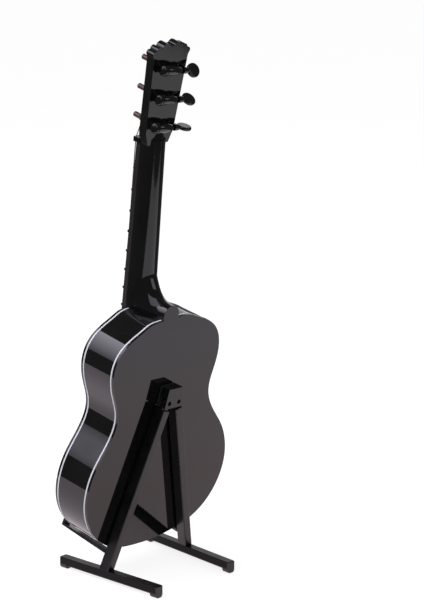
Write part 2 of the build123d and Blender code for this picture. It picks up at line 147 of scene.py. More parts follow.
# Stand: pins, legs, foot bars, caps on the bars' ends, and the pad on the block's front
PIN_PLACE = (2.1, 53.0)
LEG_MIDDLE = -2.475
SPLAY = 15.7
BAR_TOE = 3.8
BAR_TOP = 4.0
BAR_ENDS = (-20.4, 23.6)
BAR_TRIM = 0.997
CAP_LENGTH = 3.0
CAP_HALF_WIDTH = 1.49
CAP_ROUND = 1.3
SOLE_HALF_WIDTH = 0.55
BLOCK_OUTLINE = ((4.0, 51.2), (3.0, 58.1), (-3.0, 58.1), (-4.0, 51.2))
PAD_FACES = (-1.1, -0.3)


def tuner(level):
    """The frame of one tuner, whose x runs along its shaft."""
    return HEAD @ place(0, level) @ turn(TUNER_SLANT, "Z")


def linear(colour):
    """An sRGB hex colour as linear red, green and blue."""
    parts = [int(colour[i:i + 2], 16) / 255 for i in (1, 3, 5)]
    return tuple(p / 12.92 if p <= 0.04045 else ((p + 0.055) / 1.055) ** 2.4 for p in parts)


class GuitarColours(bpy.types.PropertyGroup):
    """Colours of the guitar's and the stand's finishes."""

    lacquer: bpy.props.FloatVectorProperty(
        name="Body lacquer", description="Polished black of back, sides and soundboard",
        subtype="COLOR", size=3, min=0, max=1, default=linear("#121211"))
    binding: bpy.props.FloatVectorProperty(
        name="Binding", description="White lines along the edges of the sides",
        subtype="COLOR", size=3, min=0, max=1, default=linear("#F3F4F7"))
    fretboard: bpy.props.FloatVectorProperty(
        name="Fretboard", description="Warm near-black of the fretboard and the bridge",
        subtype="COLOR", size=3, min=0, max=1, default=linear("#26211E"))
    fret: bpy.props.FloatVectorProperty(
        name="Frets", description="Dull dark nickel of the frets",
        subtype="COLOR", size=3, min=0, max=1, default=linear("#4B4744"))
    post: bpy.props.FloatVectorProperty(
        name="String posts", description="Rosy brown of the string posts",
        subtype="COLOR", size=3, min=0, max=1, default=linear("#604C47"))
    ivory: bpy.props.FloatVectorProperty(
        name="Ivory", description="Saddle and ring of the rosette",
        subtype="COLOR", size=3, min=0, max=1, default=linear("#E4D9C0"))
    rosewood: bpy.props.FloatVectorProperty(
        name="Rosette brown", description="Dark tiles of the rosette",
        subtype="COLOR", size=3, min=0, max=1, default=linear("#5B3320"))
    wood: bpy.props.FloatVectorProperty(
        name="Inner wood", description="Braces and blocks inside the body",
        subtype="COLOR", size=3, min=0, max=1, default=linear("#C4A071"))
    stand: bpy.props.FloatVectorProperty(
        name="Stand plastic", description="Black of the stand and the tuners",
        subtype="COLOR", size=3, min=0, max=1, default=linear("#0E0E0E"))
    rubber: bpy.props.FloatVectorProperty(
        name="Rubber", description="Black of the rest pad",
        subtype="COLOR", size=3, min=0, max=1, default=linear("#171616"))


class GuitarSizes(bpy.types.PropertyGroup):
    """Sizes of the small parts and rounded edges that dress the model."""

    plate_edge: bpy.props.FloatProperty(
        name="Plate edge", description="Rounding of the back's and the soundboard's edge",
        unit="LENGTH", subtype="DISTANCE", default=0.35 * MM)
    soft_edge: bpy.props.FloatProperty(
        name="Soft edge", description="Rounding of the fretboard, the rest pad and the foot bars",
        unit="LENGTH", subtype="DISTANCE", default=0.14 * MM)
    fine_edge: bpy.props.FloatProperty(
        name="Fine edge", description="Rounding of the hinge block, legs, rest arms, bridge and saddle",
        unit="LENGTH", subtype="DISTANCE", default=0.07 * MM)
    fret_count: bpy.props.IntProperty(
        name="Frets", description="Number of frets", subtype="UNSIGNED", default=11, min=1, max=24)
    fret_width: bpy.props.FloatProperty(
        name="Fret width", description="Width of a fret along the neck",
        unit="LENGTH", subtype="DISTANCE", default=0.9 * MM)
    fret_height: bpy.props.FloatProperty(
        name="Fret height", description="Height of a fret above the board",
        unit="LENGTH", subtype="DISTANCE", default=0.6 * MM)
    tile_count: bpy.props.IntProperty(
        name="Rosette tiles", description="Tiles in each full ring of the rosette",
        subtype="UNSIGNED", default=72, min=12, max=200)
    screw_radius: bpy.props.FloatProperty(
        name="Plate screw", description="Radius of the screws on the tuner plates",
        unit="LENGTH", subtype="DISTANCE", default=0.42 * MM)
    winding_turns: bpy.props.FloatProperty(
        name="Winding turns", description="Turns of string round each post",
        subtype="UNSIGNED", default=3.0, min=1, max=8)
    string_radius: bpy.props.FloatProperty(
        name="String radius", description="Radius of a string",
        unit="LENGTH", subtype="DISTANCE", default=0.16 * MM)


class GuitarStage(bpy.types.PropertyGroup):
    """Camera, lamps and floor."""

    azimuth: bpy.props.FloatProperty(
        name="Azimuth", description="Camera's turn round the object from the front",
        subtype="ANGLE", default=math.radians(136.117))
    elevation: bpy.props.FloatProperty(
        name="Elevation", description="Camera's height angle",
        subtype="ANGLE", default=math.radians(12.558))
    distance: bpy.props.FloatProperty(
        name="Distance", description="Camera's distance from its target",
        unit="LENGTH", subtype="DISTANCE", default=0.57514)
    lens: bpy.props.FloatProperty(
        name="Lens", description="Focal length on a picture 24 mm high", unit="CAMERA", default=70.16)
    lamp_level: bpy.props.FloatProperty(
        name="Lamp level", description="Brightness of all lamps against the white of the table",
        subtype="FACTOR", default=1.0, min=0, max=4)
    ambient: bpy.props.FloatProperty(
        name="Ambient", description="Strength of the even light from all round",
        subtype="FACTOR", default=0.42, min=0, max=2)


def add(tree, kind, links=None, **settings):
    """Add a node, set its properties, and link or set its inputs."""
    node = tree.nodes.new(kind)
    for key, value in settings.items():
        setattr(node, key, value)
    for socket, source in (links or {}).items():
        if isinstance(source, bpy.types.NodeSocket):
            tree.links.new(source, node.inputs[socket])
        else:
            node.inputs[socket].default_value = source
    return node


def new_material(name):
    """An empty material with its principled shader; returns the material, its tree and the shader."""
    material = bpy.data.materials.new(name)
    material.use_nodes = True
    tree = material.node_tree
    shader = next(n for n in tree.nodes if n.type == "BSDF_PRINCIPLED")
    return material, tree, shader


def in_frame(tree, matrix):
    """Object coordinates turned into one of the frames above, still in metres."""
    inverse = matrix.inverted()
    coordinates = add(tree, "ShaderNodeTexCoord")
    return add(tree, "ShaderNodeMapping", {
        "Vector": coordinates.outputs["Object"],
        "Location": inverse.translation,
        "Rotation": inverse.to_euler(),
    }).outputs["Vector"]


def shade(colour, factor):
    """A colour made lighter or darker."""
    return tuple(min(1.0, c * factor) for c in colour) + (1.0,)


def speckled(name, colour, roughness, ior, cloud, grain, depth, spread=0.35, metallic=0.0):
    """A moulded, cast or lacquered finish: soft clouds of shade, uneven gloss, and a fine grain.

    cloud and grain are the sizes of the two patterns and depth the grain's height, in millimetres.
    """
    material, tree, shader = new_material(name)
    vector = add(tree, "ShaderNodeTexCoord").outputs["Object"]
    clouds = add(tree, "ShaderNodeTexNoise", {"Vector": vector, "Scale": 1 / (cloud * MM), "Detail": 4.0})
    tone = add(tree, "ShaderNodeValToRGB", {"Fac": clouds.outputs["Fac"]})
    tone.color_ramp.elements[0].position = 0.3
    tone.color_ramp.elements[0].color = shade(colour, 1 - spread)
    tone.color_ramp.elements[1].position = 0.7
    tone.color_ramp.elements[1].color = shade(colour, 1 + spread)
    gloss = add(tree, "ShaderNodeMapRange", {
        "Value": clouds.outputs["Fac"], "From Min": 0.3, "From Max": 0.7,
        "To Min": roughness[0], "To Max": roughness[1],
    })
    peel = add(tree, "ShaderNodeTexNoise", {"Vector": vector, "Scale": 1 / (grain * MM), "Detail": 2.0})
    bump = add(tree, "ShaderNodeBump", {
        "Height": peel.outputs["Fac"], "Strength": 1.0, "Distance": depth * MM})
    tree.links.new(tone.outputs["Color"], shader.inputs["Base Color"])
    tree.links.new(gloss.outputs["Result"], shader.inputs["Roughness"])
    tree.links.new(bump.outputs["Normal"], shader.inputs["Normal"])
    shader.inputs["Metallic"].default_value = metallic
    shader.inputs["IOR"].default_value = ior
    return material


def grained(name, colour, roughness, width, length, depth, spread, across="X"):
    """A wood-like finish: streaks that run along the neck, or across it, with open pores.

    width and length are a streak's sizes and depth the pores' depth, in millimetres.
    """
    material, tree, shader = new_material(name)
    vector = in_frame(tree, GUITAR)
    sizes = (width, length, width) if across == "X" else (length, width, width)
    stretched = add(tree, "ShaderNodeMapping", {
        "Vector": vector, "Scale": tuple(1 / (s * MM) for s in sizes)})
    streaks = add(tree, "ShaderNodeTexNoise", {
        "Vector": stretched.outputs["Vector"], "Scale": 1.0, "Detail": 6.0, "Distortion": 0.4})
    tone = add(tree, "ShaderNodeValToRGB", {"Fac": streaks.outputs["Fac"]})
    tone.color_ramp.elements[0].position = 0.35
    tone.color_ramp.elements[0].color = shade(colour, 1 - spread)
    tone.color_ramp.elements[1].position = 0.65
    tone.color_ramp.elements[1].color = shade(colour, 1 + spread)
    gloss = add(tree, "ShaderNodeMapRange", {
        "Value": streaks.outputs["Fac"], "From Min": 0.3, "From Max": 0.7,
        "To Min": roughness[1], "To Max": roughness[0],
    })
    bump = add(tree, "ShaderNodeBump", {
        "Height": streaks.outputs["Fac"], "Strength": 1.0, "Distance": depth * MM})
    tree.links.new(tone.outputs["Color"], shader.inputs["Base Color"])
    tree.links.new(gloss.outputs["Result"], shader.inputs["Roughness"])
    tree.links.new(bump.outputs["Normal"], shader.inputs["Normal"])
    return material


def wound(name, colour, pitch, depth):
    """Wire wound round a core: even ridges square to the string, in a soft metal, with painted shade in
    the grooves and painted highlight on the crowns.
    """
    material, tree, shader = new_material(name)
    vector = in_frame(tree, GUITAR)
    # The wave's own period is a twentieth of its scale's inverse times two pi
    ridges = add(tree, "ShaderNodeTexWave", {
        "Vector": vector, "Scale": math.tau / 20 / (pitch * MM), "Distortion": 0.3, "Detail": 1.0},
        bands_direction="Y")
    # The base colour follows the ridges' height: painted shade in the grooves between the turns, painted
    # highlight on their crowns
    tone = add(tree, "ShaderNodeValToRGB", {"Fac": ridges.outputs["Fac"]})
    tone.color_ramp.elements[0].color = shade(colour, 0.7)
    tone.color_ramp.elements[1].color = shade(colour, 1.1)
    bump = add(tree, "ShaderNodeBump", {
        "Height": ridges.outputs["Fac"], "Strength": 1.0, "Distance": depth * MM})
    tree.links.new(tone.outputs["Color"], shader.inputs["Base Color"])
    tree.links.new(bump.outputs["Normal"], shader.inputs["Normal"])
    shader.inputs["Metallic"].default_value = 1.0
    shader.inputs["Roughness"].default_value = 0.42
    return material


def finishes():
    """Every finish of the object by name, made once."""
    colours = bpy.context.scene.guitar_colours
    if "polished_lacquer" in bpy.data.materials:
        return bpy.data.materials
    # Piano lacquer over plastic: mirror-like, with the faint waviness of a polished coat
    speckled("polished_lacquer", colours.lacquer, (0.03, 0.06), 1.55, 14.0, 3.2, 0.006)
    # The neck is sprayed with the same lacquer, rubbed a little duller by hand
    speckled("neck_lacquer", colours.lacquer, (0.06, 0.11), 1.55, 10.0, 2.6, 0.006)
    # Extruded vinyl strip: an even white with the slightest mottle, half gloss
    speckled("binding_vinyl", colours.binding, (0.25, 0.4), 1.53, 2.5, 0.6, 0.004, spread=0.03)
    # Moulded ABS with the satin gloss of a finely blasted tool
    speckled("moulded_abs", colours.stand, (0.24, 0.36), 1.55, 6.0, 0.5, 0.006)
    # The foot bars are a shaded copy of the same plastic, with a weaker, slightly duller gloss: painted
    # shade for the shadowed table beside them, which their sides mirror
    speckled("shaded_foot_abs", colours.stand, (0.26, 0.38), 1.24, 6.0, 0.5, 0.006)
    # Sunk pin ends, dull, and painted darker than the stand's plastic: painted shade of the holes they sit
    # in
    speckled("shaded_pin_ends", linear("#050505"), (0.7, 0.85), 1.2, 1.0, 0.3, 0.006)
    # The tuners are the same moulding, handled smooth
    speckled("tuner_abs", colours.stand, (0.1, 0.2), 1.6, 2.5, 0.8, 0.006)
    # Matt rubber with a fine pebble that scatters light
    speckled("matt_rubber", colours.rubber, (0.55, 0.8), 1.5, 1.6, 0.3, 0.02)
    # Stained hardwood drawn dense and almost black; pores run along the neck
    grained("stained_hardwood", colours.fretboard, (0.32, 0.5), 0.35, 7.0, 0.02, 0.35)
    grained("bridge_hardwood", colours.fretboard, (0.3, 0.46), 7.0, 0.35, 0.02, 0.35, across="Y")
    # Spruce left raw inside: straw coloured with close, soft lines
    grained("raw_spruce", colours.wood, (0.6, 0.8), 9.0, 0.5, 0.02, 0.16, across="Y")
    # Dull nickel wire, dark with age
    speckled("dull_nickel", colours.fret, (0.28, 0.42), 1.5, 1.2, 0.25, 0.004, metallic=1.0)
    # Posts of tinted acetal with a rosy metallic cast
    speckled("rosy_acetal", colours.post, (0.28, 0.4), 1.5, 0.9, 0.35, 0.006, spread=0.18, metallic=0.35)
    # Bone-like plastic for the saddle and the rosette's ring
    speckled("ivory_resin", colours.ivory, (0.3, 0.45), 1.54, 1.2, 0.5, 0.004, spread=0.06)
    # Dark tiles of the rosette, close-grained
    grained("rosette_rosewood", colours.rosewood, (0.3, 0.45), 0.3, 1.4, 0.01, 0.4)
    # Clear nylon looks like pale horn on a dark ground
    nylon = speckled("clear_nylon", linear("#B8B1A4"), (0.18, 0.3), 1.2, 1.5, 0.5, 0.003, spread=0.05)
    shader = next(n for n in nylon.node_tree.nodes if n.type == "BSDF_PRINCIPLED")
    shader.inputs["Transmission Weight"].default_value = 0.8
    # Silvered wire on the bass strings; the 0.1 mm winding is drawn at 0.4 mm so that it shows
    wound("silvered_winding", linear("#B9B4AA"), 0.4, 0.012)
    # Zinc-plated steel for the neck screws, and for the bass strings' turns on their posts
    speckled("plated_steel", linear("#8D8B88"), (0.2, 0.35), 1.5, 0.8, 0.2, 0.003, metallic=1.0)
    return bpy.data.materials


def joined(node):
    """A copy of a CAD piece's mesh with its loose triangles joined."""
    shape = bmesh.new()
    shape.from_mesh(frame["nodes"][node].data)
    bmesh.ops.remove_doubles(shape, verts=shape.verts, dist=0.001 * MM)
    return shape


def merged(node):
    """A joined copy of a CAD piece's mesh with its flat faces made whole."""
    shape = joined(node)
    bmesh.ops.dissolve_limit(shape, angle_limit=math.radians(0.1), verts=shape.verts, edges=shape.edges,
                             delimit={"NORMAL"})
    return shape


def to_piece(shape, name, material, matrix=None):
    """A mesh piece in the object's own frame from a bmesh."""
    mesh = bpy.data.meshes.new(name)
    if matrix is not None:
        shape.transform(matrix)
    shape.to_mesh(mesh)
    shape.free()
    if "custom_normal" in mesh.attributes:
        mesh.attributes.remove(mesh.attributes["custom_normal"])
    mesh.materials.clear()
    mesh.materials.append(bpy.data.materials[material])
    piece = bpy.data.objects.new(name, mesh)
    bpy.context.scene.collection.objects.link(piece)
    return piece


def settle(piece):
    """Turn a piece's modifiers into plain mesh."""
    bpy.context.view_layer.update()
    evaluated = piece.evaluated_get(bpy.context.evaluated_depsgraph_get())
    mesh = bpy.data.meshes.new_from_object(evaluated)
    piece.modifiers.clear()
    piece.data = mesh
    mesh.name = piece.name
    return piece


def rounded(node, material, width, segments=3, angle=38.0, shape=None):
    """A CAD piece, or a shape drawn for it, with its sharp edges rounded, in place of the CAD piece."""
    piece = to_piece(shape or merged(node), f"{node}_finished", material)
    bevel = piece.modifiers.new("edge", "BEVEL")
    bevel.width = width
    bevel.segments = segments
    bevel.limit_method = "ANGLE"
    bevel.angle_limit = math.radians(angle)
    bevel.miter_outer = "MITER_ARC"
    piece.modifiers.new("slivers closed", "WELD").merge_threshold = 0.002 * MM
    piece.data.shade_smooth()
    weighted = piece.modifiers.new("flat faces stay flat", "WEIGHTED_NORMAL")
    weighted.weight = 100
    weighted.keep_sharp = True
    settle(piece)
    body = frame["nodes"][node]["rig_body"]
    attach(piece, body)
    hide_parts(node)
    return piece


def paint(node, material):
    """Give a CAD piece its finish."""
    slots = frame["nodes"][node].material_slots
    for slot in slots:
        slot.material = bpy.data.materials[material]


def blend(ends, share):
    """A size between its values at two ends."""
    return ends[0] + (ends[1] - ends[0]) * share


def cut_across(shape, point, direction, keep_one_side=False):
    """Cut a bmesh by a plane, and drop what lies behind the plane if only one side is kept."""
    everything = shape.verts[:] + shape.edges[:] + shape.faces[:]
    bmesh.ops.bisect_plane(shape, geom=everything, dist=0.0005 * MM, plane_co=point, plane_no=direction,
                           clear_inner=keep_one_side)


def neck_ring(y):
    """The neck's section at one place along it: flat to the fretboard, round to the back."""
    share = (y - SHAFT_START) / NUT_RUN
    half = blend(SHAFT_HALF_WIDTH, share)
    side = blend(SHAFT_SIDE, share)
    depth = blend(SHAFT_DEPTH, share)
    rise = (half * half + side * side - depth * depth) / (2 * (depth - side))
    sweep = math.atan2(half, side + rise)
    ring = [(half, y, BODY_DEPTH)]
    for i in range(33):
        angle = sweep * (1 - i / 16)
        reach = rise + depth
        ring.append((reach * math.sin(angle), y, BODY_DEPTH + rise - reach * math.cos(angle)))
    ring.append((-half, y, BODY_DEPTH))
    return ring


def heel_ring(share):
    """The heel's section at one level: a tongue that sweeps out along the neck's back."""
    z = HEEL_LEVEL + HEEL_HEIGHT * share
    half = HEEL_HALF_WIDTH + HEEL_SPREAD * share ** 1.3
    sweep = HEEL_SWEEP * share ** 3.2
    tip = HEEL_TIP + sweep
    length = half + 0.9 * sweep
    ring = [(half, SHAFT_START, z)]
    for i in range(41):
        angle = math.pi * i / 40
        ring.append((half * math.cos(angle), tip - length + length * math.sin(angle), z))
    ring.append((-half, SHAFT_START, z))
    return ring


def skin(shape, rings):
    """Add a closed shell through rings of points to a bmesh."""
    rows = [[shape.verts.new(Vector(point) * MM) for point in ring] for ring in rings]
    faces = [shape.faces.new(rows[0]), shape.faces.new(rows[-1])]
    for low, high in zip(rows, rows[1:]):
        for i in range(len(low)):
            j = (i + 1) % len(low)
            faces.append(shape.faces.new((low[i], low[j], high[j], high[i])))
    bmesh.ops.recalc_face_normals(shape, faces=faces)


def barrel_swell(x):
    """A tuner barrel's girth along its shaft, as a share of its plain girth: fullest over the gear."""
    if x < BARREL_GEAR:
        return math.sqrt(1 - ((BARREL_GEAR - x) / BARREL_HALF_LENGTH) ** 2)
    if x < COLLAR[0]:
        return 1 - BARREL_WAIST * ((x - BARREL_GEAR) / 2.0) ** 2
    return 1 - COLLAR_FALL * (max(0.0, x - COLLAR[1]) / COLLAR_ROUND) ** 2


def swollen_housing(number):
    """A tuner housing from the CAD piece, with its plain barrel drawn as the rounded cover of a gear."""
    node = f"tuner_housing_{number}"
    local = tuner(TUNER_LEVELS[number - 1])
    shape = joined(node)
    bmesh.ops.transform(shape, matrix=local.inverted(), verts=shape.verts)
    # Cuts across the barrel, closer on the collar's rounding, give it corners to swell by
    for x in [BARREL_OPEN + 0.2 + 0.3 * i for i in range(20)] + [5.15, 5.24, 5.32]:
        cut_across(shape, (x * MM, 0, 0), (1, 0, 0))
    for corner in shape.verts:
        x, y, z = corner.co / MM
        away = z + TUNER_HEIGHT
        if x > BARREL_OPEN - 0.05 and z < -PLATE_THICKNESS - 0.05 and math.hypot(y, away) > BORE_RADIUS:
            corner.co = Vector((x, y * barrel_swell(x), away * barrel_swell(x) - TUNER_HEIGHT)) * MM
    piece = to_piece(shape, f"{node}_finished", "tuner_abs", local)
    piece.data.shade_smooth()
    piece.data.set_sharp_from_angle(angle=math.radians(35))
    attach(piece, "guitar")
    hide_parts(node)


def foot_frame(side):
    """The level frame at the foot of a leg, whose y runs along the foot bar."""
    leg = STAND @ place(side * PIN_PLACE[0], PIN_PLACE[1], LEG_MIDDLE) @ turn(side * SPLAY, "Z")
    steepness = math.cos(math.radians(LEAN)) * math.cos(math.radians(SPLAY))
    run = (leg.translation.z / MM - BAR_TOP) / steepness
    foot = (leg @ place(0, -run)).translation
    return Matrix.Translation((foot.x, foot.y, 0)) @ turn(side * BAR_TOE, "Z")


def foot_caps(side):
    """Caps over the ends of a foot bar: as high as the bar, round below and flat at the sole."""
    section = [(CAP_HALF_WIDTH, BAR_TOP - 0.1)]
    for i in range(9):
        angle = math.pi / 16 * i
        x = SOLE_HALF_WIDTH + (CAP_HALF_WIDTH - SOLE_HALF_WIDTH) * math.cos(angle)
        section.append((x, CAP_ROUND - CAP_ROUND * math.sin(angle)))
    section += [(-x, z) for x, z in reversed(section)]
    caps = bmesh.new()
    for start in (BAR_ENDS[0], BAR_ENDS[1] - CAP_LENGTH):
        skin(caps, [[(x, y, z) for x, z in section] for y in (start, start + CAP_LENGTH)])
    bmesh.ops.transform(caps, matrix=foot_frame(side), verts=caps.verts)
    return caps


def node_group(name, sizes, counts=(), boxes=()):
    """A geometry tree with named inputs by kind; returns the tree, its input node and its output node."""
    tree = bpy.data.node_groups.new(name, "GeometryNodeTree")
    tree.interface.new_socket("Geometry", in_out="INPUT", socket_type="NodeSocketGeometry")
    kinds = {"NodeSocketFloat": sizes, "NodeSocketInt": counts, "NodeSocketVector": boxes}
    for kind, labels in kinds.items():
        for label in labels:
            tree.interface.new_socket(label, in_out="INPUT", socket_type=kind)
    tree.interface.new_socket("Geometry", in_out="OUTPUT", socket_type="NodeSocketGeometry")
    return tree, add(tree, "NodeGroupInput"), add(tree, "NodeGroupOutput")


def close_group(tree, output, geometry, material):
    """End a geometry tree: instances made real, and the finish set."""
    real = add(tree, "GeometryNodeRealizeInstances", {"Geometry": geometry})
    done = add(tree, "GeometryNodeSetMaterial", {"Geometry": real.outputs["Geometry"]})
    done.inputs["Material"].default_value = bpy.data.materials[material]
    tree.links.new(done.outputs["Geometry"], output.inputs["Geometry"])


def run_group(tree, name, values, matrix, body, points=()):
    """Run a geometry tree on a set of points and keep the result as a plain mesh piece."""
    mesh = bpy.data.meshes.new(name)
    mesh.from_pydata([tuple(p) for p in points], [], [])
    piece = bpy.data.objects.new(name, mesh)
    bpy.context.scene.collection.objects.link(piece)
    modifier = piece.modifiers.new("tree", "NODES")
    modifier.node_group = tree
    for item in tree.interface.items_tree:
        if item.in_out == "INPUT" and item.name in values:
            modifier[item.identifier] = values[item.name]
    settle(piece)
    piece.data.transform(matrix)
    if not piece.data.polygons:
        raise RuntimeError(f"{name} came out empty")
    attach(piece, body)
    return piece


class GUITAR_OT_body(bpy.types.Operator):
    """Back, sides, white bindings and soundboard"""

    bl_idname = "guitar_on_stand.body"
    bl_label = "Body"

    def execute(self, context):
        finishes()
        sizes = context.scene.guitar_sizes
        rounded("back_plate", "polished_lacquer", sizes.plate_edge)
        rounded("soundboard", "polished_lacquer", sizes.plate_edge)
        paint("rim_sides", "polished_lacquer")
        paint("back_binding", "binding_vinyl")
        paint("front_binding", "binding_vinyl")
        return {"FINISHED"}


class GUITAR_OT_inside(bpy.types.Operator):
    """Braces, blocks and neck screws inside the body"""

    bl_idname = "guitar_on_stand.inside"
    bl_label = "Inside"

    def execute(self, context):
        finishes()
        for node in ("soundboard_braces", "back_braces", "tail_block", "neck_block"):
            paint(node, "raw_spruce")
        paint("neck_screws", "plated_steel")
        return {"FINISHED"}


class GUITAR_OT_neck(bpy.types.Operator):
    """Neck with heel and head, fretboard and nut"""

    bl_idname = "guitar_on_stand.neck"
    bl_label = "Neck"

    def execute(self, context):
        finishes()
        sizes = context.scene.guitar_sizes
        # The head is the CAD piece's upper end; the shaft and the swept heel below it are drawn smooth
        shape = joined("neck")
        bmesh.ops.transform(shape, matrix=GUITAR.inverted(), verts=shape.verts)
        cut_across(shape, (0, SHAFT_END * MM, 0), (0, 1, 0), keep_one_side=True)
        bmesh.ops.holes_fill(shape, edges=[e for e in shape.edges if e.is_boundary])
        skin(shape, [neck_ring(blend((SHAFT_START, SHAFT_END), i / 24)) for i in range(25)])
        skin(shape, [heel_ring(i / 48) for i in range(49)])
        shape.normal_update()
        # Edges of the head's flat faces stay sharp, so that the flats mirror as flats
        flat = (GUITAR.inverted() @ HEAD).to_3x3() @ Vector((0, 0, 1))
        for face in shape.faces:
            face.smooth = True
        for edge in shape.edges:
            flats = sum(abs(face.normal.dot(flat)) > 0.9999 for face in edge.link_faces)
            edge.smooth = edge.calc_face_angle(0) < math.radians(32) and flats != 1
        neck = to_piece(shape, "neck_finished", "neck_lacquer", GUITAR)
        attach(neck, "guitar")
        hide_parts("neck")
        rounded("fretboard", "stained_hardwood", sizes.soft_edge)
        paint("nut", "tuner_abs")
        return {"FINISHED"}


def fret_row():
    """A tree for a row of frets, spaced by a fixed ratio and as wide as the board."""
    tree, given, output = node_group("fret_row", (
        "First", "Gap", "Ratio", "Width", "Height", "Board at joint", "Board at nut", "Joint", "Nut",
    ), counts=("Count",))
    value = given.outputs
    row = add(tree, "GeometryNodeMeshLine", {"Count": value["Count"]})
    index = add(tree, "GeometryNodeInputIndex").outputs["Index"]
    # Fret places: first - gap * (1 - ratio^index) / (1 - ratio)
    power = add(tree, "ShaderNodeMath", {0: value["Ratio"], 1: index}, operation="POWER").outputs[0]
    passed = add(tree, "ShaderNodeMath", {0: 1.0, 1: power}, operation="SUBTRACT").outputs[0]
    rest = add(tree, "ShaderNodeMath", {0: 1.0, 1: value["Ratio"]}, operation="SUBTRACT").outputs[0]
    share = add(tree, "ShaderNodeMath", {0: passed, 1: rest}, operation="DIVIDE").outputs[0]
    run = add(tree, "ShaderNodeMath", {0: share, 1: value["Gap"]}, operation="MULTIPLY").outputs[0]
    height = add(tree, "ShaderNodeMath", {0: value["First"], 1: run}, operation="SUBTRACT").outputs[0]
    spot = add(tree, "ShaderNodeCombineXYZ", {"Y": height}).outputs["Vector"]
    spots = add(tree, "GeometryNodeSetPosition", {"Geometry": row.outputs["Mesh"], "Position": spot})
    width = add(tree, "ShaderNodeMapRange", {
        "Value": height, "From Min": value["Joint"], "From Max": value["Nut"],
        "To Min": value["Board at joint"], "To Max": value["Board at nut"],
    }, clamp=False).outputs["Result"]
    # A fret is a low half-round bar of unit length with softened ends
    bar = add(tree, "GeometryNodeMeshCylinder", {
        "Vertices": 20, "Side Segments": 12, "Radius": 0.5, "Depth": 1.0})
    lying = add(tree, "GeometryNodeTransform", {
        "Geometry": bar.outputs["Mesh"], "Rotation": (0.0, math.pi / 2, 0.0)}).outputs["Geometry"]
    local = add(tree, "GeometryNodeInputPosition").outputs["Position"]
    axes = add(tree, "ShaderNodeSeparateXYZ", {"Vector": local}).outputs
    crown = add(tree, "ShaderNodeMath", {0: axes["Z"], 1: 0.0}, operation="MAXIMUM").outputs[0]
    ends = add(tree, "ShaderNodeMath", {0: axes["X"]}, operation="ABSOLUTE").outputs[0]
    fall = add(tree, "ShaderNodeMapRange", {
        "Value": ends, "From Min": 0.4, "From Max": 0.5, "To Min": 1.0, "To Max": 0.72,
    }).outputs["Result"]
    low = add(tree, "ShaderNodeMath", {0: crown, 1: fall}, operation="MULTIPLY").outputs[0]
    shaped = add(tree, "ShaderNodeCombineXYZ", {
        "X": axes["X"], "Y": axes["Y"], "Z": low}).outputs["Vector"]
    half = add(tree, "GeometryNodeSetPosition", {
        "Geometry": lying, "Position": shaped}).outputs["Geometry"]
    closed = add(tree, "GeometryNodeMergeByDistance", {
        "Geometry": half, "Distance": 0.0005}).outputs["Geometry"]
    rise = add(tree, "ShaderNodeMath", {0: value["Height"], 1: 2.0}, operation="MULTIPLY").outputs[0]
    scale = add(tree, "ShaderNodeCombineXYZ", {
        "X": width, "Y": value["Width"], "Z": rise}).outputs["Vector"]
    frets = add(tree, "GeometryNodeInstanceOnPoints", {
        "Points": spots.outputs["Geometry"], "Instance": closed, "Scale": scale})
    close_group(tree, output, frets.outputs["Instances"], "dull_nickel")
    return tree


class GUITAR_OT_frets(bpy.types.Operator):
    """Frets, spaced by a fixed ratio along the board"""

    bl_idname = "guitar_on_stand.frets"
    bl_label = "Frets"

    def execute(self, context):
        finishes()
        sizes = context.scene.guitar_sizes
        piece = run_group(fret_row(), "fret_bars", {
            "Count": sizes.fret_count, "First": FIRST_FRET * MM, "Gap": FRET_GAP * MM, "Ratio": FRET_RATIO,
            "Width": sizes.fret_width, "Height": sizes.fret_height,
            "Board at joint": BOARD_WIDTHS[0] * MM, "Board at nut": BOARD_WIDTHS[1] * MM,
            "Joint": BOARD_PLACES[0] * MM, "Nut": BOARD_PLACES[1] * MM,
        }, GUITAR @ place(z=BODY_DEPTH + BOARD_THICKNESS), "guitar")
        piece.data.shade_smooth()
        piece.data.set_sharp_from_angle(angle=math.radians(50))
        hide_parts("frets")
        return {"FINISHED"}


def tile_ring():
    """A tree for a ring of slanting tiles, left open where the fretboard covers it."""
    tree, given, output = node_group(
        "tile_ring", ("Radius", "Limit", "Slant"), counts=("Count",), boxes=("Tile",))
    value = given.outputs
    ring = add(tree, "GeometryNodeMeshCircle", {
        "Vertices": value["Count"], "Radius": value["Radius"]})
    local = add(tree, "GeometryNodeInputPosition").outputs["Position"]
    axes = add(tree, "ShaderNodeSeparateXYZ", {"Vector": local}).outputs
    hidden = add(tree, "FunctionNodeCompare", {
        0: axes["Y"], 1: value["Limit"]}, operation="GREATER_THAN")
    kept = add(tree, "GeometryNodeDeleteGeometry", {
        "Geometry": ring.outputs["Mesh"], "Selection": hidden.outputs["Result"]}).outputs["Geometry"]
    angle = add(tree, "ShaderNodeMath", {0: axes["Y"], 1: axes["X"]}, operation="ARCTAN2").outputs[0]
    slanted = add(tree, "ShaderNodeMath", {0: angle, 1: value["Slant"]}, operation="ADD").outputs[0]
    turned = add(tree, "ShaderNodeCombineXYZ", {"Z": slanted}).outputs["Vector"]
    tile = add(tree, "GeometryNodeMeshCube", {"Size": value["Tile"]})
    tiles = add(tree, "GeometryNodeInstanceOnPoints", {
        "Points": kept, "Instance": tile.outputs["Mesh"], "Rotation": turned})
    close_group(tree, output, tiles.outputs["Instances"], "rosette_rosewood")
    return tree


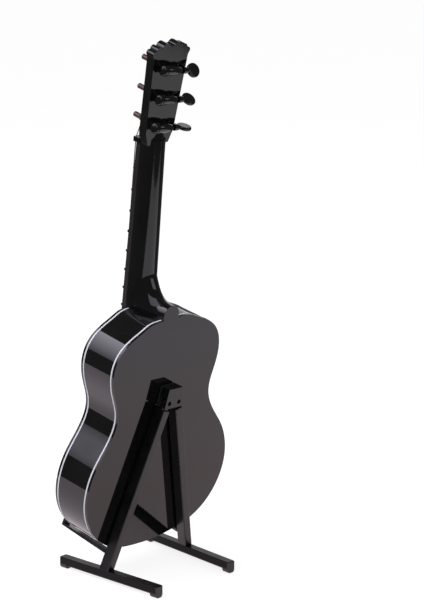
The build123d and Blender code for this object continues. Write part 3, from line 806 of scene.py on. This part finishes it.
class GUITAR_OT_rosette(bpy.types.Operator):
    """Rosette: an ivory ring inlaid with two rings of slanting tiles"""

    bl_idname = "guitar_on_stand.rosette"
    bl_label = "Rosette"

    def execute(self, context):
        finishes()
        sizes = context.scene.guitar_sizes
        paint("rosette", "ivory_resin")
        tree = tile_ring()
        middle = GUITAR @ place(0, ROSETTE_MIDDLE, BODY_DEPTH + 0.15)
        for name, radius, slant in (("inner_tiles", 8.12, 35.0), ("outer_tiles", 8.98, -35.0)):
            piece = run_group(tree, f"rosette_{name}", {
                "Count": sizes.tile_count, "Radius": radius * MM,
                "Tile": tuple(size * MM for size in TILE),
                "Limit": TILE_LIMIT * MM, "Slant": math.radians(slant)}, middle, "guitar")
        return {"FINISHED"}


class GUITAR_OT_bridge(bpy.types.Operator):
    """Bridge with its saddle"""

    bl_idname = "guitar_on_stand.bridge"
    bl_label = "Bridge"

    def execute(self, context):
        finishes()
        rounded("bridge", "bridge_hardwood", context.scene.guitar_sizes.fine_edge)
        rounded("saddle", "ivory_resin", context.scene.guitar_sizes.fine_edge)
        return {"FINISHED"}


def string_coil(material):
    """A tree for the turns of string round each post."""
    tree, given, output = node_group("string_coil", ("Turns", "Radius", "Wire", "Rise"))
    value = given.outputs
    path = add(tree, "GeometryNodeCurveSpiral", {
        "Resolution": 28, "Rotations": value["Turns"], "Start Radius": value["Radius"],
        "End Radius": value["Radius"], "Height": value["Rise"]})
    wire = add(tree, "GeometryNodeCurvePrimitiveCircle", {"Resolution": 10, "Radius": value["Wire"]})
    coil = add(tree, "GeometryNodeCurveToMesh", {
        "Curve": path.outputs["Curve"], "Profile Curve": wire.outputs["Curve"], "Fill Caps": True})
    coils = add(tree, "GeometryNodeInstanceOnPoints", {
        "Points": given.outputs["Geometry"], "Instance": coil.outputs["Mesh"]})
    close_group(tree, output, coils.outputs["Instances"], material)
    return tree


class GUITAR_OT_strings(bpy.types.Operator):
    """Strings, the posts they run to and the turns of string round each post"""

    bl_idname = "guitar_on_stand.strings"
    bl_label = "Strings"

    def execute(self, context):
        finishes()
        sizes = context.scene.guitar_sizes
        paint("treble_strings", "clear_nylon")
        paint("bass_strings", "silvered_winding")
        rounded("string_posts", "rosy_acetal", POST_EDGE * MM)
        for side, name, material, slot in (
            (1, "treble_coils", "clear_nylon", "string_nylon"),
            (-1, "bass_coils", "plated_steel", "string_wound"),
        ):
            spots = [Vector((side * POST_COLUMN, level + POST_OFFSET, HEAD_THICKNESS + COIL_START)) * MM
                     for level in TUNER_LEVELS]
            piece = run_group(string_coil(material), name, {
                "Turns": sizes.winding_turns, "Radius": COIL_RADIUS * MM, "Wire": sizes.string_radius,
                "Rise": sizes.winding_turns * COIL_PITCH * sizes.string_radius}, HEAD, "guitar", spots)
            piece.data.shade_smooth()
        return {"FINISHED"}


def plate_screws():
    """A tree for low domed screws with a slot on their outer side."""
    tree, given, output = node_group("plate_screws", ("Radius", "Sink"))
    value = given.outputs
    dome = add(tree, "GeometryNodeMeshUVSphere", {
        "Segments": 16, "Rings": 8, "Radius": value["Radius"]})
    flat = add(tree, "GeometryNodeTransform", {
        "Geometry": dome.outputs["Mesh"], "Scale": (1.0, 1.0, SCREW_FLATNESS)}).outputs["Geometry"]
    reach = add(tree, "ShaderNodeMath", {0: value["Radius"], 1: 2.4}, operation="MULTIPLY").outputs[0]
    width = add(tree, "ShaderNodeMath", {0: value["Radius"], 1: 0.3}, operation="MULTIPLY").outputs[0]
    slot_size = add(tree, "ShaderNodeCombineXYZ", {
        "X": reach, "Y": width, "Z": value["Sink"]}).outputs["Vector"]
    blade = add(tree, "GeometryNodeMeshCube", {"Size": slot_size})
    down = add(tree, "ShaderNodeMath", {
        0: value["Radius"], 1: -SCREW_FLATNESS}, operation="MULTIPLY").outputs[0]
    low = add(tree, "ShaderNodeCombineXYZ", {"Z": down}).outputs["Vector"]
    lowered = add(tree, "GeometryNodeTransform", {
        "Geometry": blade.outputs["Mesh"], "Translation": low}).outputs["Geometry"]
    cut = add(tree, "GeometryNodeMeshBoolean", {
        "Mesh 1": flat, "Mesh 2": lowered}, operation="DIFFERENCE")
    clean = add(tree, "GeometryNodeMergeByDistance", {
        "Geometry": cut.outputs["Mesh"], "Distance": 0.002 * MM}).outputs["Geometry"]
    screws = add(tree, "GeometryNodeInstanceOnPoints", {
        "Points": given.outputs["Geometry"], "Instance": clean})
    close_group(tree, output, screws.outputs["Instances"], "tuner_abs")
    return tree


class GUITAR_OT_tuners(bpy.types.Operator):
    """Tuner housings with their plate screws, and the turning buttons"""

    bl_idname = "guitar_on_stand.tuners"
    bl_label = "Tuners"

    def execute(self, context):
        finishes()
        sizes = context.scene.guitar_sizes
        for number in (1, 2, 3):
            swollen_housing(number)
            paint(f"tuner_button_{number}", "tuner_abs")
        spots = []
        for level in TUNER_LEVELS:
            for across in (-SCREW_SPREAD, SCREW_SPREAD):
                spot = Vector((SCREW_ROW, across, -PLATE_THICKNESS)) * MM
                spots.append(HEAD.inverted() @ (tuner(level) @ spot))
        piece = run_group(plate_screws(), "tuner_plate_screws", {
            "Radius": sizes.screw_radius, "Sink": SCREW_SLOT * MM}, HEAD, "guitar", spots)
        piece.data.shade_smooth()
        piece.data.set_sharp_from_angle(angle=math.radians(40))
        return {"FINISHED"}


class GUITAR_OT_stand(bpy.types.Operator):
    """Hinge block, legs, rest arms, foot bars and pads of the stand"""

    bl_idname = "guitar_on_stand.stand"
    bl_label = "Stand"

    def execute(self, context):
        finishes()
        sizes = context.scene.guitar_sizes
        rounded("hinge_block", "moulded_abs", sizes.fine_edge)
        # The pad is drawn over the block's whole front, as no light shows beside it
        pad = bmesh.new()
        skin(pad, [[(x, y, z) for x, y in BLOCK_OUTLINE] for z in PAD_FACES])
        bmesh.ops.transform(pad, matrix=STAND, verts=pad.verts)
        rounded("rest_pad", "matt_rubber", sizes.soft_edge, shape=pad)
        for side, hand in ((1, "left"), (-1, "right")):
            rounded(f"{hand}_leg", "moulded_abs", sizes.fine_edge)
            rounded(f"{hand}_rest_arm", "moulded_abs", sizes.fine_edge)
            # The feet are drawn as caps on the bar's ends, and the bar stops just inside them
            level = foot_frame(side)
            bar = merged(f"{hand}_foot_bar")
            trim = level @ Matrix.Diagonal((1, BAR_TRIM, 1, 1)) @ level.inverted()
            bmesh.ops.transform(bar, matrix=trim, verts=bar.verts)
            # The bars take the shaded copy of the plastic, as painted shade; their end caps keep the plain
            # moulding and stay brighter
            rounded(f"{hand}_foot_bar", "shaded_foot_abs", sizes.soft_edge, shape=bar)
            rounded(f"{hand}_foot_pads", "moulded_abs", sizes.soft_edge, shape=foot_caps(side))
            # The hinge pins' ends carry painted shade, as dark as the holes they sit in
            paint(f"{hand}_hinge_pin", "shaded_pin_ends")
        return {"FINISHED"}


def lamp_card(name, width, height, low, high, colour):
    """A glowing sheet, hidden from the camera, whose brightness runs from its lower to its upper edge."""
    material, tree, shader = new_material(f"{name}_diffuser")
    place_on_card = add(tree, "ShaderNodeSeparateXYZ", {
        "Vector": add(tree, "ShaderNodeTexCoord").outputs["Object"]}).outputs
    level = add(tree, "ShaderNodeMapRange", {
        "Value": place_on_card["Y"], "From Min": -height / 2, "From Max": height / 2,
        "To Min": low, "To Max": high})
    tree.links.new(level.outputs["Result"], shader.inputs["Emission Strength"])
    shader.inputs["Emission Color"].default_value = colour + (1.0,)
    shader.inputs["Base Color"].default_value = (0, 0, 0, 1)
    shader.inputs["Specular IOR Level"].default_value = 0.0
    shape = bmesh.new()
    corners = ((-width, -height), (width, -height), (width, height), (-width, height))
    shape.faces.new([shape.verts.new((x / 2, y / 2, 0)) for x, y in corners])
    lamp = to_piece(shape, name, material.name)
    lamp.visible_camera = False
    return lamp


def white_table():
    """The table's finish: white to the camera, duller in reflections; it keeps the lamps' soft shadows."""
    material, tree, shader = new_material("white_table")
    path = add(tree, "ShaderNodeLightPath").outputs
    mirrored = add(tree, "ShaderNodeMath", {
        0: path["Is Glossy Ray"], 1: path["Is Transmission Ray"]}, operation="MAXIMUM").outputs[0]
    dim = add(tree, "ShaderNodeMath", {0: mirrored, 1: 0.69}, operation="MULTIPLY").outputs[0]
    full = add(tree, "ShaderNodeMath", {
        0: path["Is Camera Ray"], 1: 0.8}, operation="MULTIPLY").outputs[0]
    glow = add(tree, "ShaderNodeMath", {0: dim, 1: full}, operation="ADD")
    # In reflections it is warm close behind the guitar and turns neutral farther off, over 0.2 m
    spot = add(tree, "ShaderNodeSeparateXYZ", {
        "Vector": add(tree, "ShaderNodeTexCoord").outputs["Object"]}).outputs
    far = add(tree, "ShaderNodeMapRange", {"Value": spot["Y"], "From Min": 0.0, "From Max": 0.2})
    cast = add(tree, "ShaderNodeValToRGB", {"Fac": far.outputs["Result"]})
    stops = cast.color_ramp.elements
    stops[0].color = (1.0, 0.86, 0.92, 1.0)
    stops[1].color = (0.76, 0.74, 0.77, 1.0)
    for position, colour in (
        (0.15, (1.0, 0.78, 0.80, 1.0)),
        (0.35, (1.0, 0.86, 0.90, 1.0)),
        (0.55, (1.02, 0.93, 1.0, 1.0)),
    ):
        stops.new(position).color = colour
    tint = add(tree, "ShaderNodeMix", {
        "Factor": path["Is Camera Ray"], "A": cast.outputs["Color"], "B": (1.0, 1.0, 1.0, 1.0)},
        data_type="RGBA")
    # A faint mottle keeps the table from being a dead flat tone
    paper = add(tree, "ShaderNodeTexNoise", {
        "Vector": add(tree, "ShaderNodeTexCoord").outputs["Object"], "Scale": 1 / (40 * MM)})
    tone = add(tree, "ShaderNodeMapRange", {
        "Value": paper.outputs["Fac"], "To Min": 0.42, "To Max": 0.45})
    grey = add(tree, "ShaderNodeCombineColor", {
        channel: tone.outputs["Result"] for channel in ("Red", "Green", "Blue")})
    tree.links.new(grey.outputs["Color"], shader.inputs["Base Color"])
    shader.inputs["Roughness"].default_value = 1.0
    shader.inputs["Specular IOR Level"].default_value = 0.0
    tree.links.new(tint.outputs["Result"], shader.inputs["Emission Color"])
    tree.links.new(glow.outputs[0], shader.inputs["Emission Strength"])
    return material


def dark_surround():
    """Dark cloth round the table and overhead, seen only in reflections, open to the white behind."""
    material, tree, shader = new_material("dark_cloth")
    nap = add(tree, "ShaderNodeTexNoise", {
        "Vector": add(tree, "ShaderNodeTexCoord").outputs["Object"], "Scale": 1 / (60 * MM)})
    tone = add(tree, "ShaderNodeValToRGB", {"Fac": nap.outputs["Fac"]})
    tone.color_ramp.elements[0].color = linear("#484848") + (1.0,)
    tone.color_ramp.elements[1].color = linear("#585858") + (1.0,)
    tree.links.new(tone.outputs["Color"], shader.inputs["Emission Color"])
    shader.inputs["Emission Strength"].default_value = 1.0
    shader.inputs["Base Color"].default_value = (0, 0, 0, 1)
    shader.inputs["Specular IOR Level"].default_value = 0.0
    # Outlines of the table and the room, and the cloth's levels, in metres
    cloth = bmesh.new()
    table = ((-0.23, -0.22), (0.20, -0.22), (0.20, -0.05), (0.085, 0.12), (0.085, 0.245),
             (-0.275, 0.245), (-0.275, 0.16), (-0.23, 0.10))
    room = ((-0.8, -3), (3, -3), (3, 0), (3, 3), (0.5, 3), (-3, 3), (-3, 1), (-3, -0.9))
    inner = [cloth.verts.new((x, y, 0.2 * MM)) for x, y in table]
    rows = [[cloth.verts.new((x, y, z)) for x, y in room] for z in (0.2 * MM, 1.9, 3.0)]
    for i in range(len(table)):
        j = (i + 1) % len(table)
        cloth.faces.new((inner[i], rows[0][i], rows[0][j], inner[j]))
        cloth.faces.new((rows[1][i], rows[2][i], rows[2][j], rows[1][j]))
        if j:
            cloth.faces.new((rows[0][i], rows[1][i], rows[1][j], rows[0][j]))
    cloth.faces.new(rows[2])
    surround = to_piece(cloth, "dark_surround", material.name)
    surround.visible_camera = False
    surround.visible_diffuse = False
    surround.visible_shadow = False


def studio_world(ambient):
    """An even light from all round, which the camera and reflections see as white."""
    world = bpy.data.worlds.new("studio")
    world.use_nodes = True
    tree = world.node_tree
    background = next(n for n in tree.nodes if n.type == "BACKGROUND")
    path = add(tree, "ShaderNodeLightPath").outputs
    seen = add(tree, "ShaderNodeMath", {
        0: path["Is Camera Ray"], 1: path["Is Glossy Ray"]}, operation="MAXIMUM")
    seen = add(tree, "ShaderNodeMath", {
        0: seen.outputs[0], 1: path["Is Transmission Ray"]}, operation="MAXIMUM")
    level = add(tree, "ShaderNodeMapRange", {
        "Value": seen.outputs[0], "To Min": ambient, "To Max": 1.0})
    background.inputs["Color"].default_value = (1, 1, 1, 1)
    tree.links.new(level.outputs["Result"], background.inputs["Strength"])
    return world


def photo_camera(stage):
    """The camera, at the photograph's angle and with its frame."""
    camera = bpy.data.cameras.new("camera")
    camera.sensor_fit = "VERTICAL"
    camera.sensor_height = 24.0
    camera.lens = stage.lens
    camera.shift_x = 0.0963
    camera.shift_y = 0.0584
    holder = bpy.data.objects.new("camera", camera)
    aim = Vector((0, 0, 80.0)) * MM
    level_reach = stage.distance * math.cos(stage.elevation)
    holder.location = aim + Vector((
        level_reach * math.sin(stage.azimuth),
        -level_reach * math.cos(stage.azimuth),
        stage.distance * math.sin(stage.elevation)))
    holder.rotation_euler = (aim - holder.location).to_track_quat("-Z", "Y").to_euler()
    bpy.context.scene.collection.objects.link(holder)
    return holder


class GUITAR_OT_stage(bpy.types.Operator):
    """Floor, dark surround, lamps and camera"""

    bl_idname = "guitar_on_stand.stage"
    bl_label = "Stage"

    def execute(self, context):
        scene = context.scene
        stage = scene.guitar_stage
        scene.view_settings.view_transform = "Standard"

        bpy.ops.mesh.primitive_plane_add(size=24.0)
        floor = context.object
        floor.name = "floor"
        floor.data.materials.append(white_table())

        dark_surround()

        # Lamps: bearing, rise, width and height in metres, and brightness at the lower and upper edge
        reach = Vector((0.8, 0, 0))
        middle = Vector((0, 0, 0.09))
        for name, bearing, rise, width, height, low, high, colour in (
            ("softbox", -56, 36, 0.80, 0.62, 0.9, 4.4, (0.90, 0.87, 1.0)),
            ("rear_softbox", 118, 19, 0.40, 0.26, 1.3, 1.7, (0.95, 0.92, 1.0)),
            ("window", 14, 46, 0.72, 0.85, 1.4, 1.6, (0.92, 0.89, 1.0)),
        ):
            towards = turn(bearing, "Z") @ turn(-rise, "Y") @ reach
            lamp = lamp_card(name, width, height, low * stage.lamp_level, high * stage.lamp_level, colour)
            lamp.location = towards + middle
            lamp.rotation_euler = (-towards).to_track_quat("-Z", "Y").to_euler()

        scene.world = studio_world(stage.ambient)
        scene.camera = photo_camera(stage)
        return {"FINISHED"}


STEPS = (
    GUITAR_OT_body, GUITAR_OT_inside, GUITAR_OT_neck, GUITAR_OT_frets, GUITAR_OT_rosette,
    GUITAR_OT_bridge, GUITAR_OT_strings, GUITAR_OT_tuners, GUITAR_OT_stand, GUITAR_OT_stage,
)


class GUITAR_PT_panel(bpy.types.Panel):
    """Lists the steps that dress the guitar and its stand"""

    bl_idname = "GUITAR_PT_panel"
    bl_label = "Guitar on stand"
    bl_space_type = "VIEW_3D"
    bl_region_type = "UI"
    bl_category = "Guitar"

    def draw(self, context):
        scene = context.scene
        for group in (scene.guitar_colours, scene.guitar_sizes, scene.guitar_stage):
            for name in group.__annotations__:
                self.layout.prop(group, name)
        for step in STEPS:
            self.layout.operator(step.bl_idname)


CLASSES = (GuitarColours, GuitarSizes, GuitarStage) + STEPS + (GUITAR_PT_panel,)


def register():
    for each in CLASSES:
        bpy.utils.register_class(each)
    bpy.types.Scene.guitar_colours = bpy.props.PointerProperty(type=GuitarColours)
    bpy.types.Scene.guitar_sizes = bpy.props.PointerProperty(type=GuitarSizes)
    bpy.types.Scene.guitar_stage = bpy.props.PointerProperty(type=GuitarStage)


def unregister():
    del bpy.types.Scene.guitar_stage
    del bpy.types.Scene.guitar_sizes
    del bpy.types.Scene.guitar_colours
    for each in reversed(CLASSES):
        bpy.utils.unregister_class(each)


def main():
    register()
    steps = bpy.ops.guitar_on_stand
    steps.body()
    steps.inside()
    steps.neck()
    steps.frets()
    steps.rosette()
    steps.bridge()
    steps.strings()
    steps.tuners()
    steps.stand()
    steps.stage()


if __name__ == "__main__":
    main()
